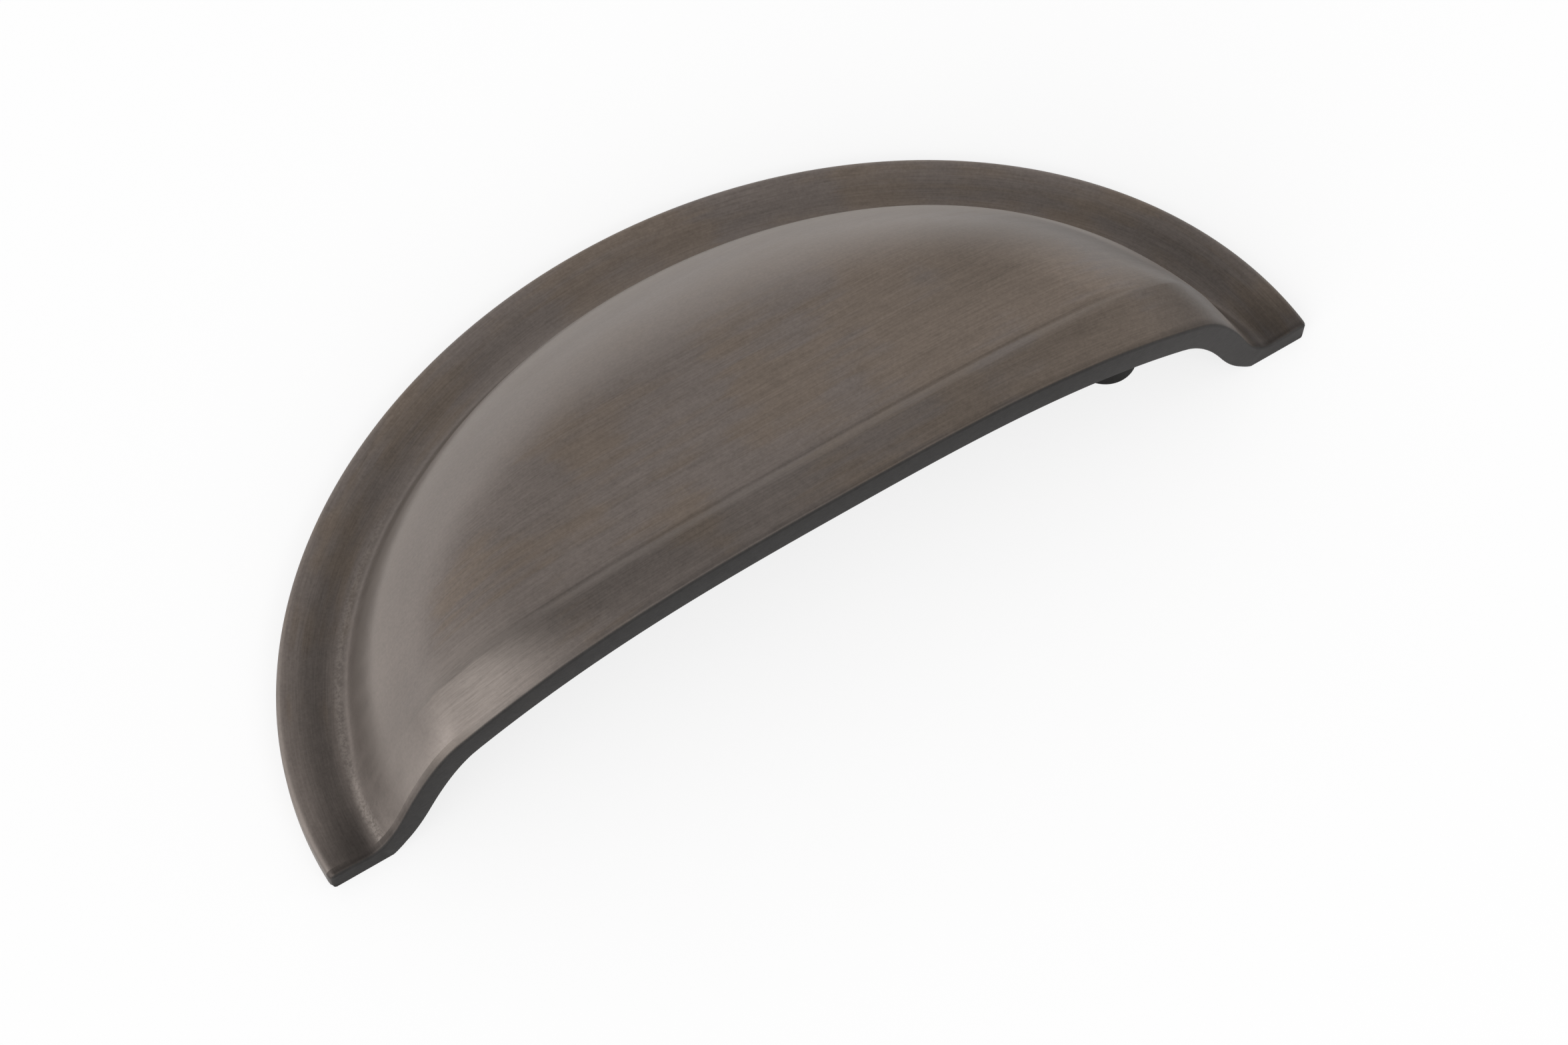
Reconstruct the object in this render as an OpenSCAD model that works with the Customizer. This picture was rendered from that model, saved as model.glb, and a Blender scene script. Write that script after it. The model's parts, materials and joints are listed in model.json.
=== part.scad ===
// A half-moon cup pull for a drawer, cast in one piece.
// It lies on its back: X runs along the straight side, Y towards the top of the curve
// and Z away from the drawer front. The origin is midway between the two screw holes,
// on the back face. All sizes are in millimetres.

/* [Outline] */
// Length of the straight side from tip to tip
pull_length = 114; // [104:1:124]
// Depth from the straight side to the top of the curve
pull_depth = 46.5; // [43:0.5:52]
// How far behind the straight side the curve is at its widest
curve_offset = 0.85; // [0.2:0.05:2]
// Radius on the two upright corners where the curve meets the straight side
tip_radius = 0.6; // [0.3:0.05:0.9]

/* [Flange] */
// Thickness of the flange at its rim
rim_thickness = 2.6; // [2.4:0.05:3.2]
// Thickness at the lowest part of its slightly dished face
dish_thickness = 2.35; // [2:0.05:2.4]
// Radius on the upper edge of the rim
rim_radius = 0.7; // [0.3:0.05:1]
// Distance from the rim to the foot of the cup's wall, at the straight side
wall_inset = 6.45; // [6:0.05:7.5]
// The same distance behind it
rear_wall_inset = 7.2; // [6.6:0.05:7.8]
// Height range over which the wall runs out into the flange, at the straight side
root_blend = 4.6; // [3:0.1:5.5]
// The same range behind it
rear_root_blend = 2.3; // [1.5:0.1:4]

/* [Cup] */
// Height of the lip in the middle
lip_height = 23.4; // [20:0.1:26]
// How much lower the lip is at the reference half width
lip_drop = 5.6; // [4:0.1:7]
// The reference half width for that drop
lip_half_width = 37.6; // [34:0.1:42]
// How suddenly the lip turns down towards its ends
lip_power = 2.8; // [2.2:0.1:3.4]
// Rise of the wall for each millimetre inwards, at the straight side
wall_slope = 2.25; // [1.9:0.05:2.6]
// The same rise behind it
rear_wall_slope = 3; // [2.4:0.1:4]
// Distance over which the section at the straight side changes into the rear one
section_run = 13; // [8:0.5:18]
// Height range of the rounding between wall and crown, at the straight side
front_rounding = 5.5; // [3:0.1:8]
// Height of the shoulder above the wall, measured 8 mm in from the rim
shoulder_height = 9.2; // [8:0.1:10.5]
// Rise of the shoulder for each millimetre inwards
shoulder_slope = 1; // [0.8:0.05:1.2]
// Share of the crown's fall that the shoulder follows
shoulder_follow = 0.7; // [0.4:0.05:1]
// Height range of the rounding between wall and shoulder
knee = 1.8; // [1:0.1:4]
// Height range of the rounding between shoulder and crown
crown_rounding = 5; // [3:0.5:9]

/* [Panel] */
// Distance from the lip to the ridge in front of the panel
ridge_inset = 5.2; // [4:0.1:7]
// Height of the panel at the ridge
panel_height = 22.8; // [20:0.1:24]
// Slope of the panel down towards the rear
panel_slope = 0.1; // [0:0.01:0.2]
// Share of the lip's curve that the panel follows sideways
panel_follow = 0.55; // [0.3:0.01:0.8]
// How fast the panel's slope grows towards the rear
panel_crown = 0.0022; // [0:0.0001:0.004]
// Height of the low swelling between the lip and the ridge
swelling = 0.35; // [0:0.05:0.8]
// Step down from the ridge to the panel
ridge_step = 0.22; // [0.1:0.01:0.5]
// Width of that step
step_width = 0.7; // [0.4:0.05:1.2]
// Half width where the ridge starts to fade
ridge_fade_start = 30; // [24:1:34]
// Half width where the ridge is gone
ridge_fade_end = 40; // [36:1:44]

/* [Hollow] */
// Height of metal above the hollow at the lip
lip_metal = 4.05; // [3:0.05:4.5]
// Slope of the hollow's roof down towards the rear
roof_slope = 0.16; // [0.1:0.01:0.2]
// Distance behind the lip where the roof takes the panel's sideways curve
roof_run = 10; // [6:0.5:16]
// Distance from the rim to the foot of the hollow's wall
hollow_inset = 8.5; // [8:0.05:9.5]
// Rise of the hollow's wall for each millimetre inwards
hollow_slope = 2.05; // [1.8:0.05:2.3]
// Height range of the rounding between its wall and roof, at the straight side
hollow_front_rounding = 4.3; // [2.5:0.1:6]
// The same range behind it
hollow_rear_rounding = 14.6; // [10:0.1:17]
// Distance over which one rounding grows into the other
hollow_run = 17; // [10:0.5:22]
// Height range of the rounding where the hollow meets the back face
foot_blend = 6; // [4:0.1:7]
// Radius on both edges of the lip
lip_radius = 0.4; // [0.2:0.05:0.6]

/* [Posts] */
// Distance between the two screw holes
hole_spacing = 76.2; // [70:0.1:80]
// Distance of the posts behind the straight side
post_inset = 8.9; // [7:0.1:12]
// Radius of a post at its foot
post_radius = 3.4; // [3:0.05:4]
// How much wider a post is at the top
post_taper = 0.5; // [0:0.05:0.8]
// Radius of the hole for an M4 thread
hole_radius = 1.65; // [1.4:0.05:1.9]
// Depth of the hole's straight wall
hole_depth = 9; // [6:0.5:10]

/* [Hidden] */

metal = [0.35, 0.32, 0.30];
half_length = pull_length / 2;
curve_depth = pull_depth - curve_offset;
// The place from the rim and the crown's height at which shoulder_height holds
shoulder_place = 8;
shoulder_crown = 20;
// Inset of the innermost ring, inside which the faces follow straight rows
core_inset = 16.2;
// Distances by which the hollow's body reaches past the back face and the straight side
past_back = 1;
past_front = 1;
// Depth of the plane that the hollow's wall runs out to, just below the back face
run_out = 0.3;
// Height above the tallest post
above_posts = 30;
// Half angle of the drill's point
drill_point = 59;

// Small helpers

function smooth_step(a, b, v) = let (u = max(0, min(1, (v - a) / (b - a)))) u * u * (3 - 2 * u);
function blend_min(a, b, r) = let (h = max(0, r - abs(a - b))) min(a, b) - h * h / (4 * r);
function blend_max(a, b, r) = -blend_min(-a, -b, r);
// Drop of a rounded edge of radius r at distance d from its outermost line
function edge_drop(d, r) = let (q = max(0, min(r, r - d))) r - sqrt(r * r - q * q);
function band(a, b, n) = [for (i = [1:n]) a + (b - a) * i / n];
function edge_band(r, n) = [for (i = [1:n]) r * (1 - cos(90 * i / n))];

// Distance from the rim to the ellipse of the same family that passes through a point
function inset_at(x, y, lo = 0, hi = curve_depth, n = 30) =
    n == 0 ? lo :
    let (m = (lo + hi) / 2)
    pow(x / (half_length - m), 2) + pow((y - curve_offset) / (curve_depth - m), 2) < 1
        ? inset_at(x, y, m, hi, n - 1)
        : inset_at(x, y, lo, m, n - 1);

// Heights of the outer face

function drop_at(x) = lip_drop * pow(abs(x) / lip_half_width, lip_power);
function section_at(y) = smooth_step(0, section_run, y);
function between(front, rear, share) = front + (rear - front) * share;
function fade_at(x) = 1 - smooth_step(ridge_fade_start, ridge_fade_end, abs(x));
function panel_z(x, y) =
    let (v = y - ridge_inset)
    panel_height - panel_slope * v - panel_follow * drop_at(x) - panel_crown * v * abs(v);
function strip_z(x, u) =
    (lip_height - drop_at(x)) * (1 - u) + panel_z(x, ridge_inset) * u
    + fade_at(x) * (swelling * 4 * u * (1 - u) + ridge_step * smooth_step(0, 1, u));
function crown_z(x, y) =
    y < ridge_inset
        ? strip_z(x, max(0, y / ridge_inset))
        : panel_z(x, y) + ridge_step * fade_at(x) * (1 - smooth_step(0, step_width, y - ridge_inset));
function flange_z(t) =
    dish_thickness + (rim_thickness - dish_thickness) * (1 - smooth_step(rim_radius, wall_inset - 2, t));
function wall_z(t, inset, slope) = dish_thickness + (t - inset) * slope;
function shoulder_z(t, crown) =
    shoulder_height + (t - shoulder_place) * shoulder_slope + (crown - shoulder_crown) * shoulder_follow;
function front_cup_z(t, crown) = blend_min(wall_z(t, wall_inset, wall_slope), crown, front_rounding);
function rear_cup_z(t, crown) =
    let (below = blend_min(wall_z(t, rear_wall_inset, rear_wall_slope), shoulder_z(t, crown), knee))
    blend_min(below, crown, crown_rounding);
function outer_z(x, y, t) =
    let (crown = crown_z(x, y), share = section_at(y))
    blend_max(between(front_cup_z(t, crown), rear_cup_z(t, crown), share), flange_z(t),
        between(root_blend, rear_root_blend, share))
    - edge_drop(t, rim_radius) - edge_drop(y, lip_radius);

// Heights of the hollow's face

function roof_z(x, y) =
    let (follow = 1 - (1 - panel_follow) * smooth_step(0, roof_run, y))
    lip_height - lip_metal - roof_slope * y - drop_at(x) * follow;
function hollow_wall_z(t) = (t - hollow_inset) * hollow_slope;
function hollow_rounding(y) =
    between(hollow_front_rounding, hollow_rear_rounding, smooth_step(0, hollow_run, y));
function hollow_z(x, y, t) =
    blend_max(blend_min(hollow_wall_z(t), roof_z(x, y), hollow_rounding(y)), -run_out, foot_blend)
    + edge_drop(max(0, y), lip_radius);

// A closed body between a height function and a flat base.
// rings: insets of the rings of points, the first one also standing on the base.
// rows: distances behind the straight side of the first rows of points; they stay parallel to it.
// turns: number of further rows, which fan out to the top of the curve.
// cols: number of columns across the core.
module skin_body(height, base, rings, rows, turns, cols) {
    last = len(rows) - 1;
    top = last + turns;
    stations = 2 * top;
    ring_t = concat([rings[0]], rings);
    n_rings = len(ring_t);
    function first_angle(t, j) = asin((rows[min(j, last)] - curve_offset) / (curve_depth - t));
    function row_angle(t, j) =
        let (a = first_angle(t, j))
        j <= last ? a : a + (90 - a) * (j - last) / turns;
    function place(t, j) =
        let (a = row_angle(t, min(j, stations - j)), side = j <= top ? 1 : -1,
            x = (half_length - t) * cos(a), y = curve_offset + (curve_depth - t) * sin(a),
            p = tip_radius - t, q = tip_radius - y,
            pull = p > 0 && q > 0 ? 1 - max(p, q) / norm([p, q]) : 0)
        [side * (x - p * pull), y + q * pull];
    ring_points = [
        for (r = [0:n_rings - 1]) for (j = [0:stations])
            let (t = ring_t[r], p = place(t, j))
            [p.x, p.y, r == 0 ? base : height(p.x, p.y, t)]
    ];
    inner = ring_t[n_rings - 1];
    core_points = [
        for (j = [0:top - 1]) for (k = [1:cols - 1])
            let (p = place(inner, j), x = p.x * (1 - 2 * k / cols))
            [x, p.y, height(x, p.y, inset_at(x, p.y))]
    ];
    n_ring_points = n_rings * (stations + 1);
    function ring(r, j) = r * (stations + 1) + j;
    function core(j, k) =
        k == 0 || j == top ? ring(n_rings - 1, j)
        : k == cols ? ring(n_rings - 1, stations - j)
        : n_ring_points + j * (cols - 1) + k - 1;
    front = concat(
        [for (r = [0:n_rings - 1]) ring(r, 0)],
        [for (k = [1:cols - 1]) core(0, k)],
        [for (r = [n_rings - 1:-1:0]) ring(r, stations)]);
    end = len(front) - 1;
    upper = concat(ring_points, core_points);
    foot_points = [for (i = [2:end - 2]) [upper[front[i]].x, upper[front[i]].y, base]];
    n_upper = len(upper);
    function foot(i) = i == 1 ? front[0] : i == end - 1 ? front[end] : n_upper + i - 2;
    quads = concat(
        [for (r = [0:n_rings - 2]) for (j = [0:stations - 1])
            [ring(r, j), ring(r + 1, j), ring(r + 1, j + 1), ring(r, j + 1)]],
        [for (j = [0:top - 1]) for (k = [0:cols - 1])
            [core(j, k), core(j, k + 1), core(j + 1, k + 1), core(j + 1, k)]],
        [for (i = [1:end - 2]) [front[i], foot(i), foot(i + 1), front[i + 1]]]);
    peak = ring(0, top);
    base_faces = concat(
        [for (j = [0:stations - 1]) [peak, ring(0, j), ring(0, j + 1)]],
        [for (i = [1:end - 2]) [peak, foot(i + 1), foot(i)]]);
    halves = concat([for (q = quads) each [[q[0], q[1], q[2]], [q[0], q[2], q[3]]]], base_faces);
    sound = [for (f = halves) if (f[0] != f[1] && f[1] != f[2] && f[0] != f[2]) f];
    polyhedron(points = concat(upper, foot_points), faces = sound);
}

// The whole casting as if it were solid, back face at Z = 0
module solid_form() {
    wall_start = wall_inset - root_blend / wall_slope;
    past_knee = rear_wall_inset + 4.4;
    skin_body(
        function (x, y, t) outer_z(x, y, t), 0,
        concat([0], edge_band(rim_radius, 3), band(rim_radius, wall_start, 3),
            band(wall_start, past_knee, 12), band(past_knee, core_inset, 4)),
        concat([0], edge_band(lip_radius, 3), band(lip_radius, ridge_inset, 5),
            band(ridge_inset, ridge_inset + step_width, 2),
            band(ridge_inset + step_width, ridge_inset + 4, 2)),
        14, 26);
}

// The space under the cup, run past the back face and the straight side
module hollow_form() {
    flare_start = hollow_inset - foot_blend / hollow_slope;
    skin_body(
        function (x, y, t) hollow_z(x, y, t), -past_back,
        concat([flare_start], band(flare_start, hollow_inset + 2.5, 6),
            band(hollow_inset + 2.5, core_inset, 4)),
        concat([-past_front, 0], edge_band(lip_radius, 2), band(lip_radius, roof_run, 4)),
        11, 20);
}

module at_posts() {
    for (side = [-1, 1])
        translate([side * hole_spacing / 2, post_inset, 0])
            children();
}

module cup_pull() {
    color(metal)
        translate([0, -post_inset, 0])
            difference() {
                solid_form();
                difference() {
                    hollow_form();
                    at_posts()
                        translate([0, 0, -2 * past_back])
                            cylinder(
                                h = above_posts, r1 = post_radius, r2 = post_radius + post_taper, $fn = 96);
                }
                at_posts() {
                    translate([0, 0, -past_back])
                        cylinder(h = hole_depth + past_back, r = hole_radius, $fn = 64);
                    translate([0, 0, hole_depth])
                        cylinder(h = hole_radius / tan(drill_point), r1 = hole_radius, r2 = 0, $fn = 64);
                }
            }
}

cup_pull();
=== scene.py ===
"""A half-moon cup pull for a drawer, lying on its back: its finished surface, floor, light and camera.

The shape is worked out in millimetres in a sketch frame, where X runs along the straight side, Y is
the distance behind it and Z the height above the back face. The finished mesh is moved to the row
frame, in metres.
"""
import json
import math

import bmesh
import bpy
import numpy as np
from mathutils import Matrix, Vector
from mathutils.geometry import delaunay_2d_cdt


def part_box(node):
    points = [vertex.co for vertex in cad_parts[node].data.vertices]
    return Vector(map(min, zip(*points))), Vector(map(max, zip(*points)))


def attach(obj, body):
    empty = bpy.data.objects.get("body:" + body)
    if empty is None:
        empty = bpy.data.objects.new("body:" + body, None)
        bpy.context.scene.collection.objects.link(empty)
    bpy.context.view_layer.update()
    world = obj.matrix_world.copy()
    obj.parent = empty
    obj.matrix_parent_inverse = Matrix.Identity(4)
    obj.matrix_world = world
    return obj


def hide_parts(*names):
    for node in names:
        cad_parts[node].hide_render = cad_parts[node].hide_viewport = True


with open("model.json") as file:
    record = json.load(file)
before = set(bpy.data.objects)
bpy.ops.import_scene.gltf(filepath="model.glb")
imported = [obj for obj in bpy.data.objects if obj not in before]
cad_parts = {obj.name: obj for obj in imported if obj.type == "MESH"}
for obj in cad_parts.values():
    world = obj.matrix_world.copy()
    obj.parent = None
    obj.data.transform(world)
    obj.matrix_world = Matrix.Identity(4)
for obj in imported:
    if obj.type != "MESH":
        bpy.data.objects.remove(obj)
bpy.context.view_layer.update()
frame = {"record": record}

MM = 0.001

# Outline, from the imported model
low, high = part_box("cup_pull")
HALF_LENGTH = (high.x - low.x) / 2 / MM
DEPTH = (high.y - low.y) / MM
FRONT_Y = low.y / MM
CURVE_OFFSET = 0.85
CURVE_DEPTH = DEPTH - CURVE_OFFSET
TIP_RADIUS = 0.6

# Flange
RIM_THICKNESS = 2.6
DISH_THICKNESS = 2.35
RIM_RADIUS = 0.7
WALL_INSET = 6.45
RIM_RISE_END = WALL_INSET - 2
REAR_WALL_INSET = 7.2
ROOT_BLEND = 4.6
REAR_ROOT_BLEND = 2.3
FOOT_RADIUS = 0.5

# Cup
LIP_HEIGHT = 23.4
LIP_DROP = 5.6
LIP_HALF_WIDTH = 37.6
LIP_POWER = 2.8
LIP_RADIUS = 0.4
WALL_SLOPE = 2.25
REAR_WALL_SLOPE = 3.0
SECTION_RUN = 13.0
FRONT_ROUNDING = 5.5
SHOULDER_HEIGHT = 9.2
SHOULDER_PLACE = 8.0
SHOULDER_CROWN = 20.0
SHOULDER_SLOPE = 1.0
SHOULDER_FOLLOW = 0.7
KNEE = 1.8
CROWN_ROUNDING = 5.0

# Panel
RIDGE_INSET = 5.2
PANEL_HEIGHT = 22.8
PANEL_SLOPE = 0.1
PANEL_FOLLOW = 0.55
PANEL_CROWN = 0.0022
SWELLING = 0.35
RIDGE_STEP = 0.22
STEP_WIDTH = 0.7
RIDGE_FADE = (30.0, 40.0)

# Hollow
LIP_METAL = 4.05
ROOF_SLOPE = 0.16
ROOF_RUN = 10.0
HOLLOW_INSET = 8.5
HOLLOW_SLOPE = 2.05
HOLLOW_FRONT_ROUNDING = 4.3
HOLLOW_REAR_ROUNDING = 14.6
HOLLOW_RUN = 17.0
FOOT_BLEND = 6.0
RUN_OUT = 0.3

# Posts and their M4 threads
mounts = {mount["name"]: mount for mount in frame["record"]["mounts"]}
HOLE_SPACING = mounts["screw_holes"]["dims"]["spacing_x_mm"]
HOLE_RADIUS = mounts["screw_holes"]["dims"]["hole_r_mm"]
POST_INSET = -FRONT_Y
POST_RADIUS = 3.4
POST_TOP_RADIUS = 3.65
POST_FILLET = 1.3
POST_CHAMFER = 0.25
HOLE_CHAMFER = 0.4
HOLE_CHAMFER_SLOPE = 0.8
HOLE_DEPTH = 9.0
THREAD_PITCH = 0.7
THREAD_DEPTH = 0.33
DRILL_POINT = 59.0

# Mesh fineness: how far in the rings reach, how far back the straight rows, and how many parts
CORE_INSET = 16.2
ROWS_DEPTH = 12.0
TURNS = 60
COLUMNS = 110
POST_SIDES = 72
THREAD_STEPS = 8
SHARP_ANGLE = math.radians(40)
# How far round a post the roof's faces are remade, and where a ring of points evens out the new ones
GAP_MARGIN = 0.7
GAP_HALO = 0.4


def smooth_step(a, b, v):
    """0 at a and 1 at b, level at both."""
    u = np.clip((v - a) / (b - a), 0, 1)
    return u * u * (3 - 2 * u)


def blend_min(a, b, r):
    """The smaller value, rounded where the two are less than r apart."""
    h = np.maximum(r - np.abs(a - b), 0)
    return np.minimum(a, b) - h * h / (4 * r)


def blend_max(a, b, r):
    return -blend_min(-a, -b, r)


def edge_drop(distance, radius):
    """How far a rounded edge lies below its corner, at a distance from its outermost line."""
    q = np.clip(radius - distance, 0, radius)
    return radius - np.sqrt(radius * radius - q * q)


def inset_at(x, y):
    """Distance from the rim to the ellipse of the same family that passes through each point."""
    lo = np.zeros_like(x)
    hi = np.full_like(x, CURVE_DEPTH)
    for _ in range(40):
        mid = (lo + hi) / 2
        inside = (x / (HALF_LENGTH - mid)) ** 2 + ((y - CURVE_OFFSET) / (CURVE_DEPTH - mid)) ** 2 < 1
        lo = np.where(inside, mid, lo)
        hi = np.where(inside, hi, mid)
    return lo


def drop_at(x):
    """How much lower the lip is at x than in the middle."""
    return LIP_DROP * (np.abs(x) / LIP_HALF_WIDTH) ** LIP_POWER


def panel_z(x, y):
    v = y - RIDGE_INSET
    return PANEL_HEIGHT - PANEL_SLOPE * v - PANEL_FOLLOW * drop_at(x) - PANEL_CROWN * v * np.abs(v)


def crown_z(x, y):
    """The top of the cup: a swelling strip behind the lip, a ridge, and the panel behind it."""
    fade = 1 - smooth_step(*RIDGE_FADE, np.abs(x))
    u = np.clip(y / RIDGE_INSET, 0, 1)
    ridge = panel_z(x, RIDGE_INSET)
    rise = SWELLING * 4 * u * (1 - u) + RIDGE_STEP * smooth_step(0, 1, u)
    strip = (LIP_HEIGHT - drop_at(x)) * (1 - u) + ridge * u + fade * rise
    step = RIDGE_STEP * fade * (1 - smooth_step(0, STEP_WIDTH, y - RIDGE_INSET))
    return np.where(y < RIDGE_INSET, strip, panel_z(x, y) + step)


def wall_z(t, inset, slope):
    return DISH_THICKNESS + (t - inset) * slope


def outer_z(x, y, t):
    """The flange, the wall, the shoulder and the crown, at the inset t from the rim."""
    crown = crown_z(x, y)
    front = blend_min(wall_z(t, WALL_INSET, WALL_SLOPE), crown, FRONT_ROUNDING)
    shoulder = (SHOULDER_HEIGHT + (t - SHOULDER_PLACE) * SHOULDER_SLOPE
                + (crown - SHOULDER_CROWN) * SHOULDER_FOLLOW)
    below = blend_min(wall_z(t, REAR_WALL_INSET, REAR_WALL_SLOPE), shoulder, KNEE)
    rear = blend_min(below, crown, CROWN_ROUNDING)
    share = smooth_step(0, SECTION_RUN, y)
    rim_rise = (RIM_THICKNESS - DISH_THICKNESS) * (1 - smooth_step(RIM_RADIUS, RIM_RISE_END, t))
    root = ROOT_BLEND + (REAR_ROOT_BLEND - ROOT_BLEND) * share
    z = blend_max(front + (rear - front) * share, DISH_THICKNESS + rim_rise, root)
    return z - edge_drop(t, RIM_RADIUS) - edge_drop(y, LIP_RADIUS)


def hollow_z(x, y, t):
    """The hollow's roof, its wall and the rounding at its foot."""
    follow = 1 - (1 - PANEL_FOLLOW) * smooth_step(0, ROOF_RUN, y)
    roof = LIP_HEIGHT - LIP_METAL - ROOF_SLOPE * y - drop_at(x) * follow
    wall = (t - HOLLOW_INSET) * HOLLOW_SLOPE
    grown = smooth_step(0, HOLLOW_RUN, y)
    rounding = HOLLOW_FRONT_ROUNDING + (HOLLOW_REAR_ROUNDING - HOLLOW_FRONT_ROUNDING) * grown
    z = blend_max(blend_min(wall, roof, rounding), -RUN_OUT, FOOT_BLEND)
    return z + edge_drop(y, LIP_RADIUS) * np.clip(z, 0, 1)


def foot_inset():
    """Where the hollow's wall reaches the back face."""
    reach = FOOT_BLEND - math.sqrt(4 * FOOT_BLEND * RUN_OUT)
    return HOLLOW_INSET - (RUN_OUT + reach) / HOLLOW_SLOPE


def steps(a, b, n):
    """n equal steps from a to b, without a itself."""
    return [a + (b - a) * i / n for i in range(1, n + 1)]


def edge_steps(radius, n):
    """Distances of n equal turns round an edge of that radius."""
    return [radius * (1 - math.cos(math.pi / 2 * i / n)) for i in range(1, n + 1)]


ROWS = np.array(
    [0.0] + edge_steps(LIP_RADIUS, 6) + steps(LIP_RADIUS, RIDGE_INSET - 0.4, 14)
    + steps(RIDGE_INSET - 0.4, RIDGE_INSET, 4) + steps(RIDGE_INSET, RIDGE_INSET + STEP_WIDTH, 8)
    + steps(RIDGE_INSET + STEP_WIDTH, ROWS_DEPTH, 14))
LAST_ROW = len(ROWS) - 1
TOP = LAST_ROW + TURNS
STATIONS = 2 * TOP + 1


def ring_plan(t):
    """Stations of one ring, from the right end of the straight side over the curve to the left end."""
    first = np.arcsin((ROWS - CURVE_OFFSET) / (CURVE_DEPTH - t))
    turn = np.arange(1, TURNS + 1) / TURNS
    angle = np.concatenate([first, first[-1] + (math.pi / 2 - first[-1]) * turn])
    x = (HALF_LENGTH - t) * np.cos(angle)
    y = CURVE_OFFSET + (CURVE_DEPTH - t) * np.sin(angle)
    y[:LAST_ROW + 1] = ROWS
    if t < TIP_RADIUS:
        # The upright corner where the curve meets the straight side is rounded
        p = TIP_RADIUS - t
        q = np.clip(TIP_RADIUS - y, 0, None)
        pull = np.where(q > 0, 1 - np.maximum(p, q) / np.hypot(p, q), 0)
        x = x - p * pull
        y = y + q * pull
    return np.concatenate([x, -x[-2::-1]]), np.concatenate([y, y[-2::-1]])


class Skin:
    """Collects points and faces. Each point keeps its inset and whether it is on the brushed outside."""

    def __init__(self):
        self.points = []
        self.insets = []
        self.outside = []
        self.quads = []

    def add(self, x, y, z, t, outside):
        start = len(self.points)
        self.points.extend(zip(x, y, z))
        self.insets.extend(np.broadcast_to(t, np.shape(x)))
        self.outside.extend([outside] * len(x))
        return np.arange(start, start + len(x))

    def strip(self, a, b):
        self.quads.extend(zip(a[:-1], b[:-1], b[1:], a[1:]))

    def ring(self, t, height, outside):
        x, y = ring_plan(t)
        z = height(x, y, t) if callable(height) else np.full_like(x, height)
        return self.add(x, y, z, t, outside)

    def core(self, ring, height, outside):
        """Rows from the ring's right side to its left side, closing towards the top of the curve."""
        rows = []
        share = np.arange(1, COLUMNS) / COLUMNS
        for j in range(TOP):
            right = self.points[ring[j]]
            x = right[0] * (1 - 2 * share)
            y = np.full_like(x, right[1])
            t = inset_at(x, y)
            inner = self.add(x, y, height(x, y, t), t, outside)
            rows.append(np.concatenate([[ring[j]], inner, [ring[STATIONS - 1 - j]]]))
        for a, b in zip(rows[:-1], rows[1:]):
            self.strip(a, b)
        peak = ring[TOP]
        self.quads.extend((a, b, peak) for a, b in zip(rows[-1][:-1], rows[-1][1:]))
        return rows[0]


def casting_skin():
    """The casting without its front face and posts, that face's outline and the hollow's first face."""
    skin = Skin()
    outer_t = (edge_steps(RIM_RADIUS, 6) + steps(RIM_RADIUS, 4.2, 8) + steps(4.2, 8.6, 20)
               + steps(8.6, CORE_INSET, 24))
    hollow_t = steps(foot_inset(), CORE_INSET, 32)
    rings = [skin.ring(t, outer_z, 1.0) for t in reversed([0.0] + outer_t)]
    rings.append(skin.ring(0.0, FOOT_RADIUS, 1.0))
    for i in range(1, 6):
        turn = math.pi / 2 * i / 5
        t = FOOT_RADIUS * (1 - math.cos(turn))
        rings.append(skin.ring(t, FOOT_RADIUS * (1 - math.sin(turn)), 1.0))
    rings.extend(skin.ring(t, 0.0, 0.0) for t in steps(FOOT_RADIUS, foot_inset(), 8))
    for a, b in zip(rings[:-1], rings[1:]):
        skin.strip(a, b)
    outer_row = skin.core(rings[0], outer_z, 1.0)
    hollow_start = len(skin.quads)
    for t in hollow_t:
        rings.append(skin.ring(t, hollow_z, 0.0))
        skin.strip(rings[-2], rings[-1])
    hollow_row = skin.core(rings[-1], hollow_z, 0.0)
    outline = [r[0] for r in rings] + list(hollow_row[1:-1]) + [r[-1] for r in reversed(rings)]
    outline += list(outer_row[-2:0:-1])
    return skin, outline, hollow_start


def inside_loops(point, loops):
    """Even-odd test of a flat point against closed loops."""
    px, py = point
    count = 0
    for loop in loops:
        x0, y0 = loop[:, 0], loop[:, 1]
        x1, y1 = np.roll(x0, -1), np.roll(y0, -1)
        cross = (y0 > py) != (y1 > py)
        with np.errstate(divide="ignore", invalid="ignore"):
            at = x0 + (py - y0) / (y1 - y0) * (x1 - x0)
        count += int(np.sum(cross & (px < at)))
    return count % 2 == 1


def fill_loops(bm, loops, extra, axes):
    """Fills the region between closed loops of vertices, seen along the axis that axes leaves out."""
    verts = [v for loop in loops for v in loop] + extra
    flat = [Vector((v.co[axes[0]], v.co[axes[1]])) for v in verts]
    edges = []
    start = 0
    for loop in loops:
        n = len(loop)
        edges.extend((start + i, start + (i + 1) % n) for i in range(n))
        start += n
    out = delaunay_2d_cdt(flat, edges, [], 0, 1e-9)
    places, faces, sources = out[0], out[2], out[3]
    outlines = [np.array([(v.co[axes[0]], v.co[axes[1]]) for v in loop]) for loop in loops]
    for face in faces:
        centre = sum((places[i] for i in face), Vector((0, 0))) / len(face)
        if inside_loops(centre, outlines):
            bm.faces.new([verts[sources[i][0]] for i in face])


def circle_points(centre, radius, turn=0.0):
    angle = 2 * math.pi * (np.arange(POST_SIDES) + turn) / POST_SIDES
    return centre[0] + radius * np.cos(angle), centre[1] + radius * np.sin(angle)


def hollow_heights(x, y):
    return hollow_z(x, y, inset_at(x, y))


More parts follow.
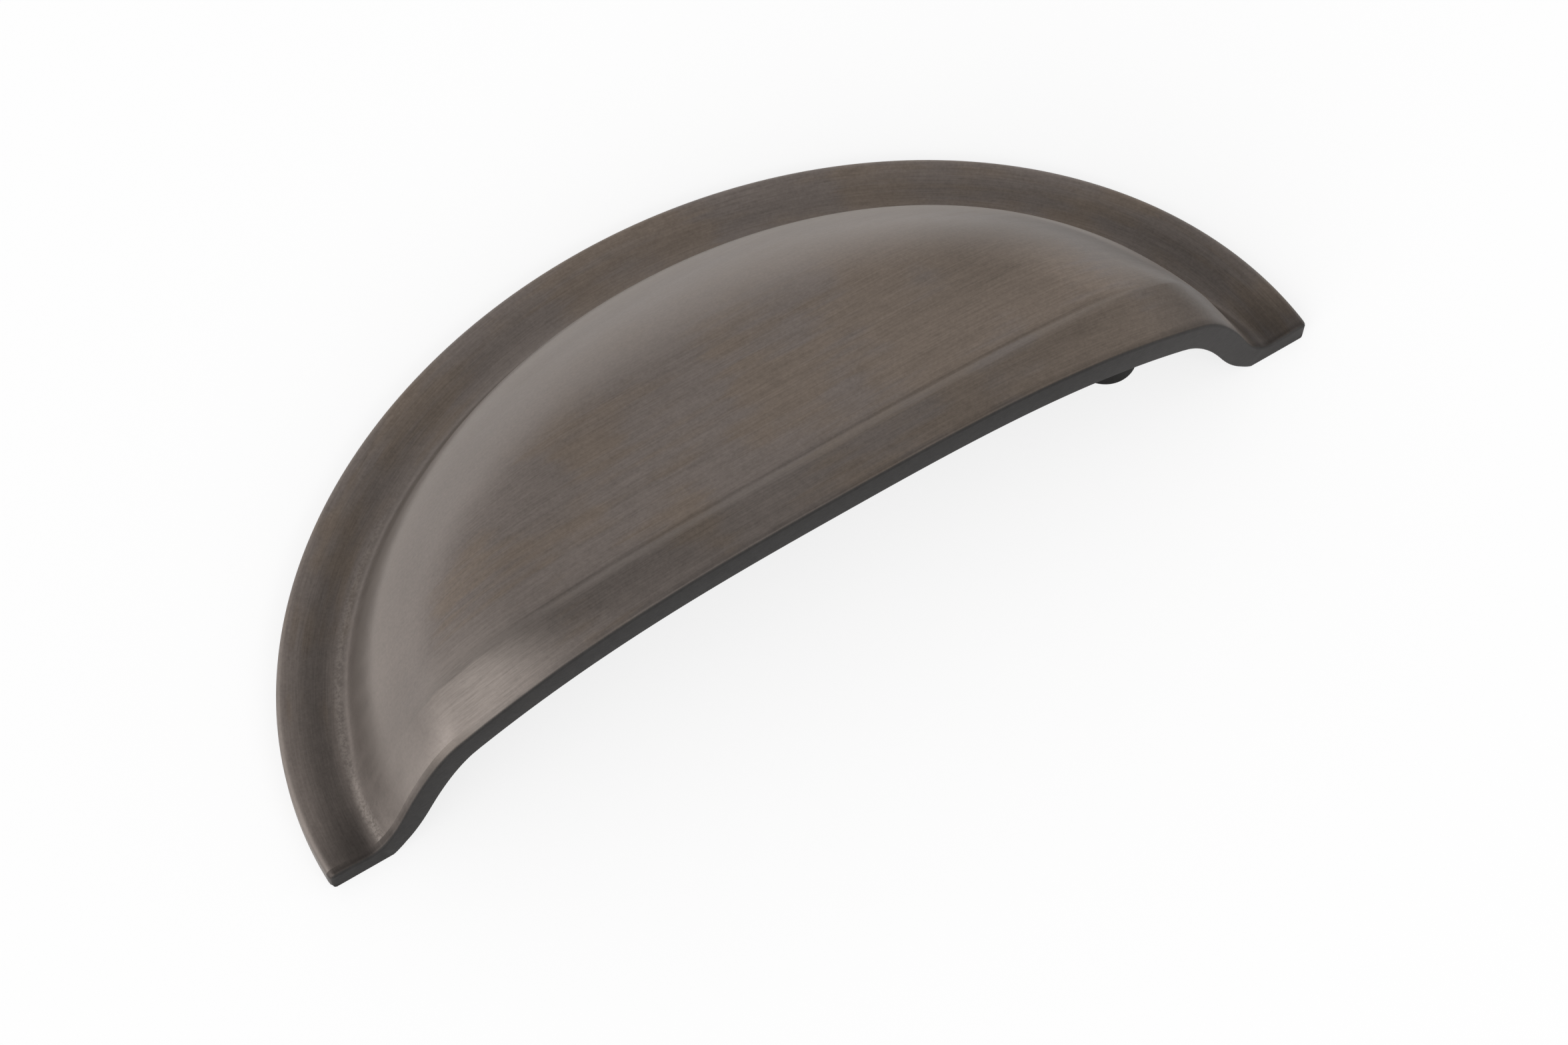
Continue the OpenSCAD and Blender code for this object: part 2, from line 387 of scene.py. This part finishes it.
def bridge(bm, a, b):
    n = len(a)
    for i in range(n):
        bm.faces.new([a[i], a[(i + 1) % n], b[(i + 1) % n], b[i]])


def new_ring(bm, centre, radius, z):
    x, y = circle_points(centre, radius)
    return [bm.verts.new(p) for p in zip(x, y, np.broadcast_to(z, POST_SIDES))]


def post_wall(bm, centre, gap_ring):
    """From the roof's gap down the fillet and the post's wall to the edge of its foot."""
    gap_height = np.array([v.co.z for v in gap_ring])
    wall_height = hollow_heights(*circle_points(centre, POST_TOP_RADIUS))
    ring = gap_ring
    for s in steps(0, 1, 8):
        radius = POST_TOP_RADIUS + (1 - s) ** 2 * POST_FILLET
        z = ((1 - s) ** 2 * gap_height + 2 * s * (1 - s) * wall_height
             + s * s * (wall_height - POST_FILLET))
        following = new_ring(bm, centre, radius, z)
        bridge(bm, ring, following)
        ring = following
    start = wall_height - POST_FILLET
    for s in steps(0, 1, 14):
        z = start * (1 - s) + POST_CHAMFER * s
        radius = POST_RADIUS + (POST_TOP_RADIUS - POST_RADIUS) * (z / start)
        following = new_ring(bm, centre, radius, z)
        bridge(bm, ring, following)
        ring = following
    return ring


def thread_radius(z, turn):
    """Wall radius of the tapped hole at height z, where turn is the share of a full turn."""
    phase = np.mod(z / THREAD_PITCH - turn, 1)
    # Flat over a fifth of the pitch, with straight sides, and fading out at the hole's end
    groove = np.clip(1.25 - 2.5 * np.abs(phase - 0.5), 0, 1)
    fade = smooth_step(HOLE_DEPTH, HOLE_DEPTH - 2 * THREAD_PITCH, z)
    return HOLE_RADIUS + THREAD_DEPTH * groove * fade


def post_hole(bm, centre, foot_edge):
    """From the foot's edge over its flat face and into the threaded hole, to the drill's point."""
    mouth = HOLE_RADIUS + HOLE_CHAMFER
    turn = np.arange(POST_SIDES) / POST_SIDES
    ring = foot_edge
    for radius in (POST_RADIUS - POST_CHAMFER, mouth + 0.3, mouth):
        following = new_ring(bm, centre, radius, 0.0)
        bridge(bm, ring, following)
        ring = following
    for z in steps(0, HOLE_DEPTH, int(HOLE_DEPTH / THREAD_PITCH * THREAD_STEPS)):
        chamfer = mouth - z * HOLE_CHAMFER_SLOPE
        radius = thread_radius(z, turn)
        if chamfer > HOLE_RADIUS:
            radius = np.maximum(radius, chamfer)
        following = new_ring(bm, centre, radius, z)
        bridge(bm, ring, following)
        ring = following
    depth = HOLE_DEPTH + HOLE_RADIUS / math.tan(math.radians(DRILL_POINT))
    tip = bm.verts.new((centre[0], centre[1], depth))
    for i in range(POST_SIDES):
        bm.faces.new([ring[i], ring[(i + 1) % POST_SIDES], tip])


def walk_loop(edges):
    """The vertices of one closed loop of edges, in order, from the edge with the lowest middle in X."""
    edge = min(edges, key=lambda e: tuple(e.verts[0].co + e.verts[1].co))
    first = edge.verts[0]
    loop = [first]
    vert = edge.other_vert(first)
    while vert != first:
        loop.append(vert)
        edge = next(e for e in vert.link_edges if e in edges and e != edge)
        vert = edge.other_vert(vert)
    return loop


def add_post(bm, centre, hollow_faces):
    """Opens a gap in the hollow's roof round a post and builds the post into it."""
    gap = POST_TOP_RADIUS + POST_FILLET
    clear = gap + GAP_MARGIN

    def near(v):
        return math.hypot(v.co.x - centre[0], v.co.y - centre[1]) < clear

    opened = [f for f in hollow_faces if f.is_valid and any(near(v) for v in f.verts)]
    gone = set(opened)
    border = {e for f in opened for e in f.edges if not all(g in gone for g in e.link_faces)}
    outline = walk_loop(border)
    bmesh.ops.delete(bm, geom=opened, context="FACES")
    x, y = circle_points(centre, gap)
    gap_ring = [bm.verts.new(p) for p in zip(x, y, hollow_heights(x, y))]
    x, y = circle_points(centre, gap + GAP_HALO, 0.5)
    extra = [bm.verts.new(p) for p in zip(x, y, hollow_heights(x, y))]
    fill_loops(bm, [outline, gap_ring], extra, (0, 1))
    post_hole(bm, centre, post_wall(bm, centre, gap_ring))


def build_casting():
    skin, outline, hollow_start = casting_skin()
    bm = bmesh.new()
    inset_layer = bm.verts.layers.float.new("inset")
    outside_layer = bm.verts.layers.float.new("outside")
    for p, t, outside in zip(skin.points, skin.insets, skin.outside):
        vert = bm.verts.new(p)
        vert[inset_layer] = t
        vert[outside_layer] = outside
    bm.verts.ensure_lookup_table()
    faces = [bm.faces.new([bm.verts[i] for i in q]) for q in skin.quads]
    fill_loops(bm, [[bm.verts[i] for i in outline]], [], (0, 2))
    for side in (-1, 1):
        add_post(bm, (side * HOLE_SPACING / 2, POST_INSET), faces[hollow_start:])
    loose = [v for v in bm.verts if not v.link_faces]
    bmesh.ops.delete(bm, geom=loose, context="VERTS")
    bmesh.ops.recalc_face_normals(bm, faces=bm.faces)
    to_row_frame = Matrix.Scale(MM, 4) @ Matrix.Translation((0, FRONT_Y, 0))
    bmesh.ops.transform(bm, matrix=to_row_frame, verts=bm.verts)
    return bm


class Graph:
    """Short ways to add nodes to a tree and link them."""

    def __init__(self, tree):
        self.tree = tree

    def new(self, kind):
        return self.tree.nodes.new(kind)

    def feed(self, socket, value):
        if isinstance(value, bpy.types.NodeSocket):
            self.tree.links.new(value, socket)
        else:
            socket.default_value = value

    def math(self, operation, a, b=0.0):
        node = self.new("ShaderNodeMath")
        node.operation = operation
        self.feed(node.inputs[0], a)
        self.feed(node.inputs[1], b)
        return node.outputs[0]

    def times(self, *values):
        product = values[0]
        for value in values[1:]:
            product = self.math("MULTIPLY", product, value)
        return product

    def plus(self, *values):
        total = values[0]
        for value in values[1:]:
            total = self.math("ADD", total, value)
        return total

    def ramp(self, value, start, end, low=0.0, high=1.0):
        """A smooth step from low at start to high at end."""
        node = self.new("ShaderNodeMapRange")
        node.interpolation_type = "SMOOTHSTEP"
        for socket, v in zip(node.inputs, (value, start, end, low, high)):
            self.feed(socket, v)
        return node.outputs["Result"]

    def bell(self, value, middle, width):
        """1 at the middle, falling to 0 at the width on each side."""
        return self.ramp(self.math("ABSOLUTE", self.math("SUBTRACT", value, middle)), width, 0.0)

    def split(self, vector):
        node = self.new("ShaderNodeSeparateXYZ")
        self.feed(node.inputs[0], vector)
        return node.outputs[0], node.outputs[1], node.outputs[2]

    def vector(self, x, y, z):
        node = self.new("ShaderNodeCombineXYZ")
        for socket, value in zip(node.inputs, (x, y, z)):
            self.feed(socket, value)
        return node.outputs[0]

    def stretch(self, vector, scale, turn=0.0):
        node = self.new("ShaderNodeMapping")
        self.feed(node.inputs["Vector"], vector)
        node.inputs["Rotation"].default_value = (0, 0, turn)
        node.inputs["Scale"].default_value = scale
        return node.outputs[0]

    def noise(self, vector, detail=2.0, roughness=0.5):
        """Noise about 0, from -0.5 to 0.5."""
        node = self.new("ShaderNodeTexNoise")
        self.feed(node.inputs["Vector"], vector)
        node.inputs["Scale"].default_value = 1.0
        node.inputs["Detail"].default_value = detail
        node.inputs["Roughness"].default_value = roughness
        return self.math("SUBTRACT", node.outputs[0], 0.5)

    def mix(self, share, a, b):
        node = self.new("ShaderNodeMix")
        node.data_type = "FLOAT"
        for socket, value in zip((node.inputs[0], node.inputs[2], node.inputs[3]), (share, a, b)):
            self.feed(socket, value)
        return node.outputs[0]

    def colours(self, share, a, b, blend="MIX"):
        node = self.new("ShaderNodeMix")
        node.data_type = "RGBA"
        node.blend_type = blend
        for socket, value in zip((node.inputs[0], node.inputs[6], node.inputs[7]), (share, a, b)):
            self.feed(socket, value)
        return node.outputs[2]

    def grey(self, value):
        return self.vector(value, value, value)

    def attribute(self, name):
        node = self.new("ShaderNodeAttribute")
        node.attribute_name = name
        return node.outputs["Fac"]


# The brushed top, a half oval that reaches from the lip towards the rear
PANEL_HALF_WIDTH = 41.5
PANEL_DEPTH = 25.0
PANEL_POWER = 2.6

BROWN = (0.198, 0.159, 0.130, 1)
PURPLE_GREY = (0.182, 0.154, 0.138, 1)
SATIN_GREY = (0.193, 0.166, 0.150, 1)
BARE = (0.033, 0.031, 0.030, 1)
# Colour of the painted highlights
HIGHLIGHT_TINT = (0.335, 0.295, 0.266, 1)

METALLIC = 0.78
ROUGHNESS = 0.46
BARE_ROUGHNESS = 0.7
BUMP_HEIGHT = 0.02 * MM

# Turn of the brushing on the cup, and length of the curve for each radian of turn, in mm
BRUSHING_TURN = -0.06
STREAKS_TURN = -0.05
CURVE_RADIUS = 52.0


def brushed_metal():
    """Dark antiqued metal: brushed outside, with patina, painted shade and painted highlights, and bare
    on the cut and the inside.
    """
    material = bpy.data.materials.new("dark_brushed_metal")
    material.use_nodes = True
    g = Graph(material.node_tree)
    shader = material.node_tree.nodes["Principled BSDF"]
    place = g.stretch(g.new("ShaderNodeTexCoord").outputs["Object"], (1 / MM, 1 / MM, 1 / MM))
    x, y, z = g.split(place)
    aside = g.math("ABSOLUTE", x)
    behind = g.math("SUBTRACT", y, FRONT_Y)
    inset = g.attribute("inset")
    turn = g.math(
        "ARCTAN2", g.times(g.math("SUBTRACT", behind, CURVE_OFFSET), 1 / CURVE_DEPTH),
        g.times(x, 1 / HALF_LENGTH))

    # Where each finish is
    cut = g.ramp(behind, 0.28, 0.08)
    bare = g.math("MAXIMUM", g.math("SUBTRACT", 1.0, g.attribute("outside")), cut)
    on_flange = g.ramp(inset, 7.2, 6.0)
    to_left = g.ramp(turn, 1.4, 3.0)
    across = g.math("POWER", g.times(aside, 1 / PANEL_HALF_WIDTH), PANEL_POWER)
    along = g.math("POWER", g.times(g.math("MAXIMUM", behind, 0.0), 1 / PANEL_DEPTH), PANEL_POWER)
    panel_reach = g.math("POWER", g.plus(across, along), 1 / PANEL_POWER)
    off_panel = g.ramp(panel_reach, g.mix(to_left, 0.82, 0.95), g.mix(to_left, 1.1, 1.04))

    # Brushing along the straight side on the cup, and along the curve on the flange
    cup_strokes = g.noise(g.stretch(place, (0.2, 6.5, 0.8), BRUSHING_TURN), 3.0, 0.65)
    cup_streaks = g.noise(g.stretch(place, (0.05, 1.1, 0.2), STREAKS_TURN), 2.0)
    around = g.vector(g.times(turn, CURVE_RADIUS), inset, z)
    flange_strokes = g.noise(g.stretch(around, (0.25, 6.0, 6.0)), 3.0, 0.65)
    flange_streaks = g.noise(g.stretch(around, (0.07, 1.1, 1.1)), 2.0)
    satin = g.times(off_panel, g.math("SUBTRACT", 1.0, on_flange))
    strokes = g.times(g.mix(on_flange, cup_strokes, flange_strokes), g.mix(satin, 1.0, 0.35))
    streaks = g.mix(on_flange, cup_streaks, flange_streaks)
    mottle = g.noise(g.stretch(place, (0.8, 0.8, 0.8)), 4.0, 0.6)
    clouds = g.noise(g.stretch(place, (0.09, 0.09, 0.09)), 2.0)
    fine = g.noise(g.stretch(place, (3.0, 3.0, 3.0)), 3.0, 0.65)

    # Darkening, as the share of light that is lost: patina in the flange's groove, made much darker on
    # the left and at the right tip as painted shade; patina at the tips; a stain on the right of the
    # top;
    # painted shade at the right end of the flange, on the right of the shoulder and along the foot of
    # the wall on the right and back; a painted dark reflection along the lip's edge; and darker on the
    # strip behind the lip, in a line behind the ridge and towards the edge of the brushed panel
    # Patina in the groove, made much darker on the left and at the right tip as painted shade
    groove = g.times(
        g.ramp(inset, 0.8, 3.6), g.ramp(inset, 6.0, 4.2, 0.35, 1.0), g.ramp(inset, 7.4, 6.2),
        g.plus(g.mix(to_left, 0.1, 0.48), g.ramp(turn, 1.2, 0.5, 0.0, 0.16)))
    # Painted shade on the flange at the right end
    right_end_shade = g.times(on_flange, g.ramp(turn, 0.65, 0.25), 0.24)
    # Painted shade on the right of the shoulder
    right_shoulder_shade = g.times(satin, g.ramp(turn, 1.1, 0.45), g.ramp(inset, 10.2, 12.2, 0.3, 1.0), 0.36)
    stain = g.times(g.bell(x, 26.0, 11.0), g.bell(behind, 17.0, 9.0), 0.17)
    tips = g.times(on_flange, g.ramp(behind, 7.0, 1.0), 0.38)
    # Painted shade along the foot of the wall on the right and back
    foot_shade = g.times(g.bell(inset, 6.9, 0.7), g.ramp(turn, 1.9, 0.6), 0.3)
    # Darker on the strip behind the lip, a little more so left of the middle
    strip = g.times(g.ramp(behind, 7.0, 4.6), g.ramp(inset, 9.0, 16.0))
    strip_darkening = g.times(strip, g.plus(0.25, g.times(g.bell(x, -26.0, 24.0), 0.1)))
    # Painted dark reflection along the lip's front edge
    lip_reflection_line = g.times(g.ramp(behind, 0.9, 0.25), 0.35)
    ridge_fade = g.ramp(aside, RIDGE_FADE[1], 26.0)
    ridge_groove = g.times(g.bell(behind, RIDGE_INSET + 0.75, 0.32), ridge_fade, 0.2)
    panel_rim = g.times(
        g.math("SUBTRACT", 1.0, off_panel), g.ramp(panel_reach, 0.55, 0.95), g.mix(to_left, 0.03, 0.13))
    # Patina, the stain and the painted shade together
    patina_and_shade = g.times(*(g.math("SUBTRACT", 1.0, dark) for dark in (
        groove, right_end_shade, right_shoulder_shade, stain, tips, foot_shade, strip_darkening, lip_reflection_line, ridge_groove,
        panel_rim)))

    # Painted highlights: speckled in the fillet at the foot of the wall on the left, along the ridge, on
    # the shoulder (most at the back and right) and along its edge on the right and back, on the rim's
    # edge on the left and at the left corner
    speckle = g.ramp(g.plus(fine, g.times(mottle, 0.6)), -0.14, 0.14, 0.3, 1.0)
    foot_highlight = g.times(g.bell(inset, 6.1, 0.8), g.ramp(turn, 1.9, 2.8), speckle, 0.5)
    ridge_highlight = g.times(g.bell(behind, RIDGE_INSET + 0.1, 0.8), ridge_fade, 0.17)
    satin_highlight = g.times(g.ramp(inset, 7.0, 9.0), off_panel, 0.28)
    shoulder_highlight = g.times(
        g.plus(g.times(g.bell(inset, 9.0, 4.5), 0.42), satin_highlight), g.ramp(turn, 2.9, 1.5, 0.5, 1.0),
        g.ramp(turn, 0.3, 0.9))
    edge_highlight = g.times(g.bell(inset, 10.4, 1.6), g.ramp(turn, 0.25, 0.5), g.ramp(turn, 1.9, 1.3), 0.5)
    rim_highlight = g.times(g.ramp(inset, 0.9, 0.2), g.ramp(turn, 2.4, 2.9), 0.3)
    corner_highlight = g.times(
        g.bell(x, -38.0, 11.0), g.bell(behind, 4.0, 8.0), g.ramp(strokes, -0.25, 0.25, 0.6, 1.0), 0.46)
    painted_highlight = foot_highlight
    for next_highlight in (ridge_highlight, shoulder_highlight, edge_highlight, rim_highlight, corner_highlight):
        painted_highlight = g.math("MAXIMUM", painted_highlight, next_highlight)

    # Colour
    grain = g.plus(
        1.0, g.times(strokes, 0.6), g.times(streaks, 0.18), g.times(mottle, 0.25), g.times(fine, 0.5))
    tilt = g.mix(on_flange, g.times(x, -0.004), g.plus(g.times(aside, 0.004), -0.08))
    tint = g.plus(clouds, g.times(streaks, 0.4), tilt)
    panel_colour = g.colours(g.ramp(tint, -0.1, 0.1), BROWN, PURPLE_GREY)
    satin_share = g.times(off_panel, g.ramp(inset, 6.0, 7.5), g.mix(to_left, 0.65, 1.0))
    colour = g.colours(satin_share, panel_colour, SATIN_GREY)
    shade = g.times(grain, patina_and_shade, g.plus(1.0, g.times(clouds, 0.2)))
    colour = g.colours(1.0, colour, g.grey(shade), "MULTIPLY")
    # Mixes in the painted highlights
    colour = g.colours(painted_highlight, colour, HIGHLIGHT_TINT)
    # Bare finish: grain, the cut face painted lighter towards the right end as painted light, and the
    # hollow, posts and back face painted darker as painted shade
    bare_grain_and_painted_light = g.plus(g.ramp(x, 22.0, 44.0, 1.0, 1.45), g.times(mottle, 0.5), g.times(fine, 0.4))
    bare_shade = g.times(bare_grain_and_painted_light, g.mix(cut, 0.3, 1.0))
    bare_colour = g.colours(1.0, BARE, g.grey(bare_shade), "MULTIPLY")
    g.feed(shader.inputs["Base Color"], g.colours(bare, colour, bare_colour))

    # Gloss and relief
    shader.inputs["Metallic"].default_value = METALLIC
    brushed = g.plus(ROUGHNESS, g.times(streaks, 0.12), g.times(mottle, 0.1), g.times(painted_highlight, -0.06))
    g.feed(shader.inputs["Roughness"], g.mix(bare, brushed, BARE_ROUGHNESS))
    bump = g.new("ShaderNodeBump")
    bump.inputs["Strength"].default_value = 0.5
    bump.inputs["Distance"].default_value = BUMP_HEIGHT
    g.feed(bump.inputs["Height"], g.mix(bare, g.plus(strokes, g.times(fine, 0.6)), g.times(fine, 2.0)))
    g.feed(shader.inputs["Normal"], bump.outputs[0])
    return material


bm = build_casting()
mesh = bpy.data.meshes.new("cup_pull_casting")
bm.to_mesh(mesh)
bm.free()
casting = bpy.data.objects.new("cup_pull_casting", mesh)
bpy.context.scene.collection.objects.link(casting)
mesh.shade_smooth()
mesh.set_sharp_from_angle(angle=SHARP_ANGLE)
mesh.materials.append(brushed_metal())

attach(casting, "root")
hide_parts("cup_pull")

# Floor, a hair below the back face. It is whitened for camera and glossy rays, and keeps the shadow
FLOOR_SIZE = 4.0
FLOOR_Z = -0.00005
FLOOR_COLOUR = (0.87, 0.87, 0.87, 1)
WHITE_TO_CAMERA = 0.75
WHITE_IN_GLOSS = 0.15
floor_mesh = bpy.data.meshes.new("floor")
floor_mesh.from_pydata(
    [(-FLOOR_SIZE, -FLOOR_SIZE, FLOOR_Z), (FLOOR_SIZE, -FLOOR_SIZE, FLOOR_Z),
     (FLOOR_SIZE, FLOOR_SIZE, FLOOR_Z), (-FLOOR_SIZE, FLOOR_SIZE, FLOOR_Z)], [], [(0, 1, 2, 3)])
floor = bpy.data.objects.new("floor", floor_mesh)
bpy.context.scene.collection.objects.link(floor)
paper = bpy.data.materials.new("pale_paper")
paper.use_nodes = True
g = Graph(paper.node_tree)
shader = paper.node_tree.nodes["Principled BSDF"]
shader.inputs["Base Color"].default_value = FLOOR_COLOUR
shader.inputs["Roughness"].default_value = 1.0
shader.inputs["Specular IOR Level"].default_value = 0.0
white = g.new("ShaderNodeEmission")
ray = g.new("ShaderNodeLightPath")
whiten = g.math(
    "MAXIMUM", g.times(ray.outputs["Is Camera Ray"], WHITE_TO_CAMERA),
    g.times(ray.outputs["Is Glossy Ray"], WHITE_IN_GLOSS))
blend = g.new("ShaderNodeMixShader")
g.feed(blend.inputs[0], whiten)
g.feed(blend.inputs[1], shader.outputs[0])
g.feed(blend.inputs[2], white.outputs[0])
g.feed(paper.node_tree.nodes["Material Output"].inputs["Surface"], blend.outputs[0])
floor_mesh.materials.append(paper)

# World: grey overhead, paler towards the horizon, most of all at the sides, and with a softbox on the
# left in front
OVERHEAD = 0.455
HORIZON_RISE = 0.25
RIGHT_RISE = 0.62
LEFT_RISE = 0.85
SOFTBOX_LEVEL = 2.76
SOFTBOX_TOWARDS = (-0.78, -0.50, 0.37)
SOFTBOX_TIGHTNESS = 4.5
world = bpy.data.worlds.new("studio")
bpy.context.scene.world = world
world.use_nodes = True
g = Graph(world.node_tree)
towards = g.new("ShaderNodeTexCoord").outputs["Generated"]
x, y, z = g.split(towards)
down = g.math("SUBTRACT", 1.0, g.math("MAXIMUM", z, 0.0))
facing = g.new("ShaderNodeVectorMath")
facing.operation = "DOT_PRODUCT"
g.feed(facing.inputs[0], towards)
facing.inputs[1].default_value = SOFTBOX_TOWARDS
softbox = g.math("POWER", g.math("MAXIMUM", facing.outputs["Value"], 0.0), SOFTBOX_TIGHTNESS)
sideways = g.math("MAXIMUM", g.times(x, RIGHT_RISE), g.times(x, -LEFT_RISE))
level = g.plus(OVERHEAD, g.times(down, g.plus(sideways, HORIZON_RISE)), g.times(softbox, SOFTBOX_LEVEL))
g.feed(world.node_tree.nodes["Background"].inputs["Strength"], level)
world.node_tree.nodes["Background"].inputs["Color"].default_value = (1, 1, 1, 1)

# Key light, from the front
KEY_PLACE = (0.2, -1.17, 0.92)
KEY_SIZE = 0.8
KEY_WATTS = 4.0
key_data = bpy.data.lights.new("key", "AREA")
key_data.shape = "DISK"
key_data.size = KEY_SIZE
key_data.energy = KEY_WATTS
key = bpy.data.objects.new("key", key_data)
bpy.context.scene.collection.objects.link(key)
key.location = KEY_PLACE
key.rotation_mode = "QUATERNION"
key.rotation_quaternion = (-Vector(key.location)).to_track_quat("-Z", "Y")
key.visible_camera = False

# Camera
AZIMUTH = math.radians(-34.675)
ELEVATION = math.radians(63.531)
ROLL = math.radians(2.468)
DISTANCE = 0.38747
AIM = Vector((0.00028, 0.00125, 0))
LENS = 89.31
SENSOR_WIDTH = 36.0
right = Vector((math.cos(AZIMUTH), math.sin(AZIMUTH), 0))
back = Vector((math.sin(AZIMUTH) * math.cos(ELEVATION), -math.cos(AZIMUTH) * math.cos(ELEVATION),
               math.sin(ELEVATION)))
up = back.cross(right)
rolled_right = math.cos(ROLL) * right + math.sin(ROLL) * up
rolled_up = back.cross(rolled_right)
camera_data = bpy.data.cameras.new("camera")
camera_data.sensor_width = SENSOR_WIDTH
camera_data.lens = LENS
camera_data.clip_start = 0.01
camera_data.clip_end = 20
camera = bpy.data.objects.new("camera", camera_data)
bpy.context.scene.collection.objects.link(camera)
placing = Matrix((rolled_right, rolled_up, back)).transposed().to_4x4()
placing.translation = AIM + back * DISTANCE
camera.matrix_world = placing
bpy.context.scene.camera = camera

bpy.context.scene.view_settings.view_transform = "Standard"
